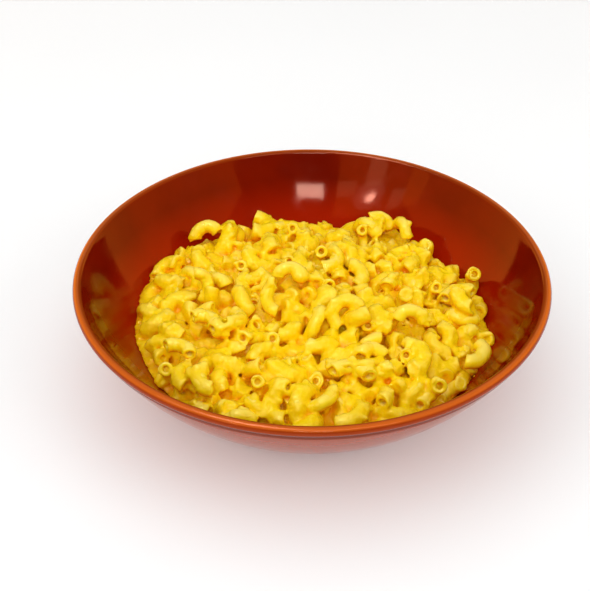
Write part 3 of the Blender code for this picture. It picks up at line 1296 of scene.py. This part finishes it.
@dataclass
class Sauce:
    """Cheese sauce as one skin round the elbows, thick in the dips and thin on the tops."""

    bowl: Bowl
    shape: HeapShape
    voxel: float = 0.72 * MM
    blend: float = 1.7 * MM
    band: float = 3.0 * MM
    fill: float = 0.0098
    depth: float = 0.0135
    most_triangles: int = 190000
    seed: int = 23
    grid_margin: float = 4.0 * MM
    grid_heights: Pair = (0.018, 0.0618)
    # The fill's slope as a distance, and how it meets the bowl's wall
    fill_slope: float = 0.95
    wall_gap: float = 0.12 * MM
    wall_blend: float = 1.2 * MM
    # Unevenness: spacing and height of the broad swell and of the curds, and how
    # curdled the sauce is from place to place
    swell: Pair = (7.0 * MM, 0.45 * MM)
    curd: Pair = (2.7 * MM, 1.10 * MM)
    curdled_spacing: float = 15.0 * MM
    curdled_usual: float = 0.40
    curdled_change: float = 1.2
    curdled_range: Pair = (0.15, 1.0)
    # Lumps that sit on the elbows: how many, sizes in millimetres, how far sunk
    lumps: tuple[tuple[int, Pair, float], ...] = ((90, (2.4, 5.2), 0.62), (420, (0.8, 1.8), 0.25))
    lump_spread: float = 0.95
    lump_turn: Pair = (-0.3, 0.3)
    lump_stretch: Pair = (0.75, 1.25)
    # Bores: how deep they are clear and how much wider than the bore, in millimetres
    open_depths: Pair = (3.0, 5.5)
    open_extra: float = 0.5
    closed_depths: Pair = (-0.6, 0.9)
    closed_extra: float = -0.4
    bore_blend: float = 0.8 * MM
    bore_outside: float = 2.5 * MM
    bore_margin: float = 6.0 * MM
    # Smears and crumbs on the wall beside the heap: x, y, radius in millimetres
    smears: tuple[Triple, ...] = (
        (-70.0, -74.0, 1.6),
        (-74.0, -70.0, 1.1),
        (80.0, -50.0, 1.8),
        (84.0, -46.0, 1.2),
        (72.0, -72.0, 1.3),
    )
    smear_blend: float = 1.0 * MM
    finish: SauceFinish = field(default_factory=SauceFinish)

    def field_of(
        self, elbows: Elbows, cover: np.ndarray, open_ends: np.ndarray
    ) -> tuple[np.ndarray, np.ndarray, np.ndarray]:
        """Works out the sauce's signed distance on a grid.

        Args:
            elbows: All the elbows.
            cover: How far the sauce stands proud of each elbow, below 0 where it is bare.
            open_ends: Whether each elbow's bore stays clear of sauce.

        Returns:
            The grid of distances, the same with the core and the wall filled in, and the place
            of its first point.
        """
        reach = self.shape.reach + self.grid_margin
        low = np.array([-reach, self.shape.middle[1] - reach, self.grid_heights[0]])
        high = np.array([reach, self.shape.middle[1] + reach, self.grid_heights[1]])
        counts = np.ceil((high - low) / self.voxel).astype(int)
        axes = [low[k] + np.arange(counts[k]) * self.voxel for k in range(3)]
        x, y, z = np.meshgrid(*axes, indexing="ij", sparse=True)
        rng = np.random.default_rng(self.seed)
        uneven = self._unevenness(counts, rng)
        fill = (z - self.shape.top(x, y) + self.fill) * self.fill_slope
        distance = np.broadcast_to(fill, counts).copy()
        for i in range(len(elbows)):
            self._join(distance, axes, elbows, i, cover[i])
        self._drop_lumps(distance, axes, rng)
        for place_x, place_y, size in self.smears:
            distance = self._smear(distance, (x, y, z), place_x * MM, place_y * MM, size * MM)
        distance += uneven
        clear = self.bowl.clearance(x, y, z)
        distance = self._soft_least(distance, np.broadcast_to(clear, counts), self.wall_blend)
        for i in range(len(elbows)):
            depths = self.open_depths if open_ends[i] else self.closed_depths
            extra = self.open_extra if open_ends[i] else self.closed_extra
            for side in (-1.0, 1.0):
                depth = rng.uniform(*depths)
                self._open(distance, axes, elbows, i, side, depth * MM, extra * MM)
        floor = self.shape.top(x, y) - self.depth - z
        distance = np.maximum(distance, np.maximum(self.wall_gap - clear, floor))
        self._fill_bubbles(distance)
        return distance, np.minimum(np.minimum(distance, -floor), clear), low

    def _unevenness(self, counts: np.ndarray, rng: np.random.Generator) -> np.ndarray:
        """How far the sauce's skin is moved in, or out where below 0.

        Args:
            counts: The grid's number of points each way.
            rng: The seeded source of chance.

        Returns:
            The move at each point of the grid.
        """
        patches = self._noise(counts, self.curdled_spacing, rng)
        curdled = self.curdled_usual + self.curdled_change * patches
        curdled = np.clip(curdled, *self.curdled_range)
        uneven = self._noise(counts, self.swell[0], rng) * self.swell[1]
        return uneven + self._noise(counts, self.curd[0], rng) * curdled * self.curd[1]

    def _noise(self, counts: np.ndarray, spacing: float, rng: np.random.Generator) -> np.ndarray:
        """Smooth random lumps from -1 to 1 on the grid.

        Args:
            counts: The grid's number of points each way.
            spacing: How far apart the lumps are.
            rng: The seeded source of chance.

        Returns:
            The value at each point of the grid.
        """
        values = rng.uniform(-1.0, 1.0, np.ceil(counts * self.voxel / spacing).astype(int) + 2)
        for axis in range(3):
            place = np.arange(counts[axis]) * self.voxel / spacing
            whole = place.astype(int)
            part = place - whole
            part = part * part * (3.0 - 2.0 * part)
            part = part.reshape([-1 if k == axis else 1 for k in range(3)])
            here, after = (np.take(values, whole + step, axis=axis) for step in (0, 1))
            values = here * (1.0 - part) + after * part
        return values

    def _drop_lumps(
        self, distance: np.ndarray, axes: list[np.ndarray], rng: np.random.Generator
    ) -> None:
        """Adds dollops of thick sauce and small curds that sit on the elbows.

        Args:
            distance: The grid, which is changed.
            axes: The grid's places along each axis.
            rng: The seeded source of chance.
        """
        for count, sizes, sunk in self.lumps:
            for i in range(count):
                away = self.shape.reach * self.lump_spread * math.sqrt((i + 0.5) / count)
                turn = i * GOLDEN_ANGLE + rng.uniform(*self.lump_turn)
                x = self.shape.middle[0] + away * math.cos(turn)
                y = self.shape.middle[1] + away * math.sin(turn)
                size = rng.uniform(*sizes) * MM
                stretch = rng.uniform(*self.lump_stretch, 3)
                column = distance[int((x - axes[0][0]) / self.voxel), int((y - axes[1][0]) / self.voxel)]
                z = axes[2][np.flatnonzero(column < 0.0)[-1]]
                middle = np.array([x, y, z - sunk * size])
                reach = size + self.band
                spans, points = self._window(axes, middle - reach, middle + reach)
                blob = np.linalg.norm((points - middle) / stretch, axis=-1) - size
                distance[spans] = self._soft_least(distance[spans], blob, self.blend)

    @staticmethod
    def _fill_bubbles(distance: np.ndarray) -> None:
        """Makes the air that no open air reaches part of the sauce.

        Args:
            distance: The grid, which is changed.
        """
        air = distance > 0.0
        reached = np.zeros_like(air)
        reached[:, :, -1] = air[:, :, -1]
        count = 0
        while count < reached.sum():
            count = reached.sum()
            for _ in range(6):
                reached[1:] |= reached[:-1] & air[1:]
                reached[:-1] |= reached[1:] & air[:-1]
                reached[:, 1:] |= reached[:, :-1] & air[:, 1:]
                reached[:, :-1] |= reached[:, 1:] & air[:, :-1]
                reached[:, :, 1:] |= reached[:, :, :-1] & air[:, :, 1:]
                reached[:, :, :-1] |= reached[:, :, 1:] & air[:, :, :-1]
        distance[air & ~reached] = -0.5 * MM

    @staticmethod
    def _soft_least(first: np.ndarray, second: np.ndarray, blend: float) -> np.ndarray:
        """The lesser of two distances, with a fillet where they meet."""
        share = np.clip(0.5 + 0.5 * (second - first) / blend, 0.0, 1.0)
        return second * (1.0 - share) + first * share - blend * share * (1.0 - share)

    @staticmethod
    def _window(
        axes: list[np.ndarray], low: np.ndarray, high: np.ndarray
    ) -> tuple[tuple[slice, ...], np.ndarray]:
        """The grid's part between two corners.

        Args:
            axes: The grid's places along each axis.
            low: The lowest corner.
            high: The highest corner.

        Returns:
            The part's slices, and the places of its points.
        """
        spans = tuple(slice(*np.searchsorted(axes[k], (low[k], high[k]))) for k in range(3))
        points = np.meshgrid(*(axes[k][spans[k]] for k in range(3)), indexing="ij")
        return spans, np.stack(points, axis=-1)

    @staticmethod
    def _tube_distance(points: np.ndarray, elbows: Elbows, i: int) -> np.ndarray:
        """Distance to a flat-ended arc of solid tube.

        Args:
            points: Where it is measured from.
            elbows: All the elbows.
            i: The elbow's number.

        Returns:
            The distance from each point, below 0 inside.
        """
        local = (points - elbows.centre[i]) @ elbows.rotation[i]
        x, y, z = local[..., 0], np.abs(local[..., 1]), local[..., 2]
        half, bend = elbows.sweep[i] / 2.0, elbows.bend[i]
        angle = np.arctan2(y, x)
        nearest = np.minimum(angle, half)
        beside = (x - bend * np.cos(nearest)) ** 2 + (y - bend * np.sin(nearest)) ** 2
        distance = np.sqrt(beside + z**2) - elbows.radius[i]
        end_x, end_y = math.cos(half), math.sin(half)
        past = (y - bend * end_y) * end_x - (x - bend * end_x) * end_y
        return np.where(angle > half, np.maximum(distance, past), distance)

    def _join(
        self, distance: np.ndarray, axes: list[np.ndarray], elbows: Elbows, i: int, cover: float
    ) -> None:
        """Adds one elbow to the grid, with a fillet to what is there.

        Args:
            distance: The grid, which is changed.
            axes: The grid's places along each axis.
            elbows: All the elbows.
            i: The elbow's number.
            cover: How far the sauce stands proud of it.
        """
        turns = np.linspace(-0.5, 0.5, 7) * elbows.sweep[i]
        line = np.stack([np.cos(turns), np.sin(turns), np.zeros_like(turns)], axis=1)
        line = line * elbows.bend[i] @ elbows.rotation[i].T + elbows.centre[i]
        margin = elbows.radius[i] + self.band
        spans, points = self._window(axes, line.min(axis=0) - margin, line.max(axis=0) + margin)
        tube = self._tube_distance(points, elbows, i) - cover
        distance[spans] = self._soft_least(distance[spans], tube, self.blend)

    def _open(
        self,
        distance: np.ndarray,
        axes: list[np.ndarray],
        elbows: Elbows,
        i: int,
        side: float,
        depth: float,
        extra: float,
    ) -> None:
        """Clears the sauce out of one end of an elbow's bore.

        Args:
            distance: The grid, which is changed.
            axes: The grid's places along each axis.
            elbows: All the elbows.
            i: The elbow's number.
            side: -1 for its first end and 1 for its last.
            depth: How deep the end is clear.
            extra: How much wider than the bore the clear part is.
        """
        half = elbows.sweep[i] / 2.0
        end = np.array([math.cos(half), side * math.sin(half), 0.0]) * elbows.bend[i]
        out = np.array([-math.sin(half), side * math.cos(half), 0.0])
        end = end @ elbows.rotation[i].T + elbows.centre[i]
        out = out @ elbows.rotation[i].T
        spans, points = self._window(axes, end - self.bore_margin, end + self.bore_margin)
        away = points - end
        along = away @ out
        beside = np.linalg.norm(away - along[..., None] * out, axis=-1)
        ends = np.maximum(-along - depth, along - self.bore_outside)
        plug = np.maximum(beside - elbows.bore[i] - extra, ends)
        distance[spans] = -self._soft_least(-distance[spans], plug, self.bore_blend)

    def _smear(
        self, distance: np.ndarray, grid: tuple[np.ndarray, ...], x: float, y: float, size: float
    ) -> np.ndarray:
        """Adds a flat blob of sauce on the wall.

        Args:
            distance: The grid.
            grid: The places of its points along each axis.
            x: The blob's place along X.
            y: Its place along Y.
            size: Its radius.

        Returns:
            The grid with the blob.
        """
        z = float(self.bowl.inner_height(np.array(math.hypot(x, y))))
        blob = np.sqrt((grid[0] - x) ** 2 + (grid[1] - y) ** 2 + (grid[2] - z) ** 2) - size
        return self._soft_least(distance, blob, self.smear_blend)

    def build(
        self, groups: NodeGroups, elbows: Elbows, cover: np.ndarray, open_ends: np.ndarray
    ) -> tuple[bpy.types.Object, Shelter]:
        """Meshes the sauce and dresses it.

        Args:
            groups: The shared node groups.
            elbows: All the elbows.
            cover: How far the sauce stands proud of each elbow.
            open_ends: Whether each elbow's bore stays clear.

        Returns:
            The piece, and how sheltered each place in the heap is.
        """
        distance, filled, low = self.field_of(elbows, cover, open_ends)
        limit = 3.0 * self.voxel
        grid = openvdb.FloatGrid(background=limit)
        grid.copyFromArray(np.clip(distance, -limit, limit).astype(np.float32))
        points, quads = grid.convertToQuads(isovalue=0.0)
        verts = points.astype(np.float64) * self.voxel + low
        piece = make_piece("cheese_sauce", verts, quads[:, ::-1])
        LOG.info("sauce before thinning: %d quads", len(quads))
        self._thin(piece)
        finish_piece(piece, self.finish.build(groups))
        return piece, Shelter.around(filled, low, self.voxel)

    def _thin(self, piece: bpy.types.Object) -> None:
        """Collapses the flattest faces until the piece is light enough.

        Args:
            piece: The meshed sauce, which is changed.
        """
        triangles = 2 * len(piece.data.polygons)
        if triangles <= self.most_triangles:
            return
        thinner = piece.modifiers.new("thin", "DECIMATE")
        thinner.ratio = self.most_triangles / triangles
        bpy.context.view_layer.update()
        shaped = piece.evaluated_get(bpy.context.evaluated_depsgraph_get())
        mesh = bpy.data.meshes.new_from_object(shaped)
        piece.modifiers.clear()
        piece.data = mesh
        mesh.shade_smooth()


@dataclass
class Core:
    """The plain inside of the heap, hidden under the elbows and the sauce."""

    bowl: Bowl
    shape: HeapShape
    depth: float = 0.0125
    gap: float = 0.0004
    wall_gap: float = 0.00064
    edge_gap: float = 0.0008
    around: int = 72
    rows: int = 14
    underside: Triple = (0.92, 0.84, 0.76)

    def build(self, material: bpy.types.Material) -> bpy.types.Object:
        """Builds the core as a closed, low mound in the bowl.

        Args:
            material: What the core is dressed in.

        Returns:
            The piece.
        """
        angles = np.arange(self.around) * math.tau / self.around
        edge = self._edge_radius()
        floor = self.bowl.floor_height + self.gap
        rings = []
        for share in np.linspace(0.0, 1.0, self.rows)[1:]:
            x, y = edge * share * np.cos(angles), edge * share * np.sin(angles)
            z = self.shape.top(x, y) - self.depth
            wall = self.bowl.inner_height(np.hypot(x, y)) + self.wall_gap
            rings.append(np.stack([x, y, np.maximum(z, wall)], axis=1))
        for share in self.underside:
            x, y = edge * share * np.cos(angles), edge * share * np.sin(angles)
            z = np.full(self.around, self.bowl.inner_height(edge * share) + self.wall_gap)
            rings.append(np.stack([x, y, z], axis=1))
        tips = [[0.0, 0.0, self.shape.crown - self.depth], [0.0, 0.0, floor]]
        verts = np.vstack([*rings, tips])
        quads = ring_bands(len(rings), self.around)
        halves = np.vstack([quads[:, [0, 1, 2]], quads[:, [0, 2, 3]]])
        core = make_piece("heap_core", verts, halves, ring_ends(len(rings), self.around))
        # The whole core counts as a dip, so it takes the sauce's painted shade
        store_values(core, "shelter", np.ones(len(verts)))
        return finish_piece(core, material)

    def _edge_radius(self) -> float:
        """The radius where the core's top meets the wall.

        Returns:
            The radius.
        """
        radii = np.linspace(0.05, self.shape.reach, 400)
        top = self.shape.top(radii, np.zeros_like(radii)) - self.depth
        meets = top < self.bowl.inner_height(radii) + self.edge_gap
        return float(radii[np.argmax(meets)])


@dataclass
class Heap:
    """Everything in the bowl: the core, two kinds of elbow and the sauce."""

    bowl: Bowl
    shape: HeapShape = field(default_factory=HeapShape)
    seed: int = 31
    bare_share: float = 0.16
    open_share: float = 0.22
    # How far the sauce stands proud of an elbow, in millimetres
    bare_cover: Pair = (-0.35, 0.05)
    coated_cover: Pair = (0.15, 0.90)
    bare: PastaFinish = PastaFinish(
        name="bare_pasta", plain=(0.93, 0.68, 0.012), sauced=(0.92, 0.64, 0.004)
    )
    coated: PastaFinish = PastaFinish(
        name="coated_pasta", plain=(0.92, 0.66, 0.006), sauced=(0.91, 0.615, 0.002)
    )

    def build(self, groups: NodeGroups) -> list[bpy.types.Object]:
        """Settles the elbows, then builds every piece of the heap.

        Args:
            groups: The shared node groups.

        Returns:
            The pieces.
        """
        elbows, held = Settling(self.bowl, self.shape).run()
        count = len(elbows)
        LOG.info("settled %d elbows, %d of them placed", count, held)
        rng = np.random.default_rng(self.seed)
        is_bare = rng.uniform(0.0, 1.0, count) < self.bare_share
        is_bare[:held] = True
        thin, thick = rng.uniform(*self.bare_cover, count), rng.uniform(*self.coated_cover, count)
        cover = np.where(is_bare, thin, thick) * MM
        open_ends = rng.uniform(0.0, 1.0, count) < self.open_share
        open_ends[:held] = True
        bare = ElbowMesher().build("elbows_bare", elbows, np.flatnonzero(is_bare))
        plainer = ElbowMesher(around=12, along_outside=9, along_inside=6)
        coated = plainer.build("elbows_coated", elbows, np.flatnonzero(~is_bare))
        finish_piece(bare, self.bare.build(groups))
        finish_piece(coated, self.coated.build(groups))
        sauce, shelter = Sauce(self.bowl, self.shape).build(groups, elbows, cover, open_ends)
        for piece in (bare, coated, sauce):
            shelter.store(piece)
        core = Core(self.bowl, self.shape).build(sauce.data.materials[0])
        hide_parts("macaroni_heap")
        return [bare, coated, sauce, core]


# ----------------------------------------------------------------------- studio


WHITE = (1.0, 1.0, 1.0)
WARM = (1.0, 0.34, 0.040)
CREAM = (1.0, 0.90, 0.60)
LAMPLIGHT = (1.0, 0.96, 0.92)
DISH = (0.0, 0.0, 0.04)


class Falls(Enum):
    """What a light falls on."""

    ON_ALL = "matt and glossy surfaces"
    ON_MATT = "matt surfaces only"
    ON_GLOSS = "glossy surfaces only"


@dataclass(frozen=True)
class Softbox:
    """A rectangular or round light that faces a point, with its brightness as seen.

    feather is how far its edge fades, in metres, and layers is in how many steps.
    """

    name: str
    place: Triple
    width: float
    depth: float
    brightness: float
    colour: Colour = WHITE
    aim: Triple = DISH
    feather: float = 0.0
    round: bool = False
    falls: Falls = Falls.ON_GLOSS
    layers: int = 6

    def build(self) -> None:
        """Makes the light, as nested layers where its edge fades out."""
        layers = self.layers if self.feather > 0.0 else 1
        for i in range(layers):
            grown = 2.0 * self.feather * ((i + 0.5) / layers - 0.5)
            self._build_layer(self.width + grown, self.depth + grown, self.brightness / layers)

    def _build_layer(self, width: float, depth: float, brightness: float) -> None:
        """Makes one rectangle or ellipse of light.

        Args:
            width: Its size from side to side.
            depth: Its size the other way.
            brightness: How bright it is as seen.
        """
        light = bpy.data.lights.new(self.name, "AREA")
        light.shape = "ELLIPSE" if self.round else "RECTANGLE"
        light.size = width
        light.size_y = depth
        light.energy = brightness * math.pi * width * depth
        light.color = self.colour
        lamp = bpy.data.objects.new(self.name, light)
        lamp.location = self.place
        towards = Vector(self.aim) - Vector(self.place)
        lamp.rotation_euler = towards.to_track_quat("-Z", "Y").to_euler()
        lamp.visible_glossy = self.falls is not Falls.ON_MATT
        lamp.visible_diffuse = self.falls is not Falls.ON_GLOSS
        bpy.context.scene.collection.objects.link(lamp)


# Lights that shape matt surfaces, and one window that every surface shows
OPEN_LIGHTS = (
    Softbox("overhead", (-0.20, -0.10, 1.20), 1.8, 1.5, 0.57, falls=Falls.ON_MATT),
    Softbox("front_fill", (-0.20, -2.00, 1.20), 1.5, 1.0, 1.25, falls=Falls.ON_MATT),
    Softbox("left_fill", (-1.75, -0.85, 1.25), 1.3, 1.2, 1.3, falls=Falls.ON_MATT),
    Softbox("right_fill", (1.75, -0.85, 1.25), 1.3, 1.2, 1.65, falls=Falls.ON_MATT),
    Softbox(
        "window", (0.06, -2.00, 1.86), 0.60, 0.34, 27.0, (0.78, 1.0, 1.04), (0.06, 0.0, 1.86),
        falls=Falls.ON_ALL,
    ),
)

# Cards that only gloss shows: small panes and lamps, then broad warm walls
GLOSS_LIGHTS = (
    Softbox("overhead_gloss", (-0.30, -0.15, 1.20), 0.45, 0.45, 15.0, (1.0, 0.97, 0.92)),
    Softbox("front_strip", (-0.20, -0.52, 1.45), 2.2, 0.24, 9.0, (1.0, 0.88, 0.74)),
    Softbox("high_back", (0.10, 1.30, 1.45), 1.3, 0.7, 2.0, (1.0, 0.62, 0.32)),
    Softbox("lamp", (-1.50, -2.00, 2.10), 0.32, 0.26, 36.0, LAMPLIGHT, (-1.5, 0.0, 2.1), 0.0, True),
    Softbox("lamp_glow", (-1.50, -2.05, 2.10), 0.60, 0.55, 6.5, LAMPLIGHT, (-1.5, 0.0, 2.1), 0.4, True),
    Softbox("tall_pane", (-1.46, -2.00, 1.43), 0.42, 0.58, 12.0, CREAM, (-1.46, 0.0, 1.43), 0.12),
    Softbox("far_pane", (-2.50, -2.00, 2.25), 0.42, 0.50, 10.0, CREAM, (-2.5, 0.0, 2.25), 0.12),
    Softbox("near_pane", (-0.77, -2.00, 1.80), 0.35, 0.25, 9.0, CREAM, (-0.77, 0.0, 1.8), 0.12),
    Softbox("wall_behind", (-2.30, -2.10, 1.50), 2.9, 2.0, 12.0, WARM, (-2.3, 0.0, 1.5), 0.7),
    Softbox("wall_right", (2.00, 0.60, 0.90), 5.0, 1.9, 12.0, WARM, (0.0, 0.6, 0.9), 0.8),
    Softbox("wall_left", (-2.00, 1.10, 0.70), 4.6, 1.5, 15.0, WARM, (0.0, 1.1, 0.7), 0.6),
)


@dataclass
class Studio:
    """Floor, lights and camera."""

    floor_size: float = 6.0
    floor_steps: int = 24
    floor_drop: float = 0.0002
    # The floor's far edges: how steeply they rise, and where that starts
    floor_rise: float = 0.02
    floor_level_share: float = 0.35
    rim_height: float = 0.064
    eye_distance: float = 0.600
    eye_elevation: float = math.radians(35.568)
    lens: float = 69.28
    aside: float = -0.00862
    below: float = 0.01564
    surround: float = 0.60
    surround_in_gloss: float = 0.55
    gloss_tint: Colour = (1.0, 0.50, 0.035)
    floor_finish: FloorFinish = field(default_factory=FloorFinish)

    def build(self, groups: NodeGroups) -> None:
        """Builds the studio.

        Args:
            groups: The shared node groups.
        """
        self._build_floor(groups)
        for light in OPEN_LIGHTS + GLOSS_LIGHTS:
            light.build()
        self._build_world()
        self._build_camera()
        scene = bpy.context.scene
        scene.view_settings.view_transform = "Standard"
        scene.view_settings.look = "None"

    def _build_floor(self, groups: NodeGroups) -> None:
        """Lays the pale floor under the foot, a little dished towards its far edges.

        Args:
            groups: The shared node groups.
        """
        steps = self.floor_steps
        side = np.linspace(-0.5, 0.5, steps + 1)
        x, y = np.meshgrid(side, side, indexing="ij")
        rise = self.floor_rise * np.maximum(np.hypot(x, y) - self.floor_level_share, 0.0) ** 2
        places = (x * self.floor_size, y * self.floor_size, rise - self.floor_drop)
        verts = np.stack([place.ravel() for place in places], axis=1)
        row, column = np.meshgrid(np.arange(steps), np.arange(steps), indexing="ij")
        first = (row * (steps + 1) + column).ravel()
        quads = np.stack([first, first + steps + 1, first + steps + 2, first + 1], axis=1)
        floor = make_piece("studio_floor", verts, quads)
        floor.data.materials.append(self.floor_finish.build(groups))

    def _build_world(self) -> None:
        """Sets the room's even light: white on matt surfaces, warm in reflections."""
        world = bpy.data.worlds.new("room")
        world.use_nodes = True
        nodes, links = world.node_tree.nodes, world.node_tree.links
        backdrop = nodes["Background"]
        in_gloss = nodes.new("ShaderNodeLightPath").outputs["Is Glossy Ray"]
        colour = nodes.new("ShaderNodeMix")
        colour.data_type = "RGBA"
        colour.inputs[6].default_value = (*WHITE, 1.0)
        colour.inputs[7].default_value = (*self.gloss_tint, 1.0)
        links.new(in_gloss, colour.inputs["Factor"])
        links.new(colour.outputs[2], backdrop.inputs["Color"])
        strength = nodes.new("ShaderNodeMapRange")
        strength.inputs["To Min"].default_value = self.surround
        strength.inputs["To Max"].default_value = self.surround_in_gloss
        links.new(in_gloss, strength.inputs["Value"])
        links.new(strength.outputs["Result"], backdrop.inputs["Strength"])
        bpy.context.scene.world = world

    def _build_camera(self) -> None:
        """Sets the camera at the diner's eye, aimed a little below and left of the rim's middle."""
        back = Vector((0.0, -math.cos(self.eye_elevation), math.sin(self.eye_elevation)))
        above = Vector((0.0, math.sin(self.eye_elevation), math.cos(self.eye_elevation)))
        rim_middle = Vector((0.0, 0.0, self.rim_height))
        data = bpy.data.cameras.new("diner_view")
        data.lens = self.lens
        camera = bpy.data.objects.new("diner_view", data)
        camera.location = rim_middle + back * self.eye_distance
        aim = rim_middle + Vector((self.aside, 0.0, 0.0)) - above * self.below
        camera.rotation_euler = (aim - camera.location).to_track_quat("-Z", "Y").to_euler()
        bpy.context.scene.collection.objects.link(camera)
        bpy.context.scene.camera = camera


def main() -> None:
    """Builds the dish and the studio, and reports each piece."""
    logging.basicConfig(level=logging.INFO, format="%(message)s")
    groups = NodeGroups()
    bowl = Bowl.from_frame()
    pieces = [bowl.build(groups)]
    pieces += Heap(bowl).build(groups)
    for piece in pieces:
        LOG.info("%s: %d faces", piece.name, len(piece.data.polygons))
    Studio().build(groups)


if __name__ == "__main__":
    main()
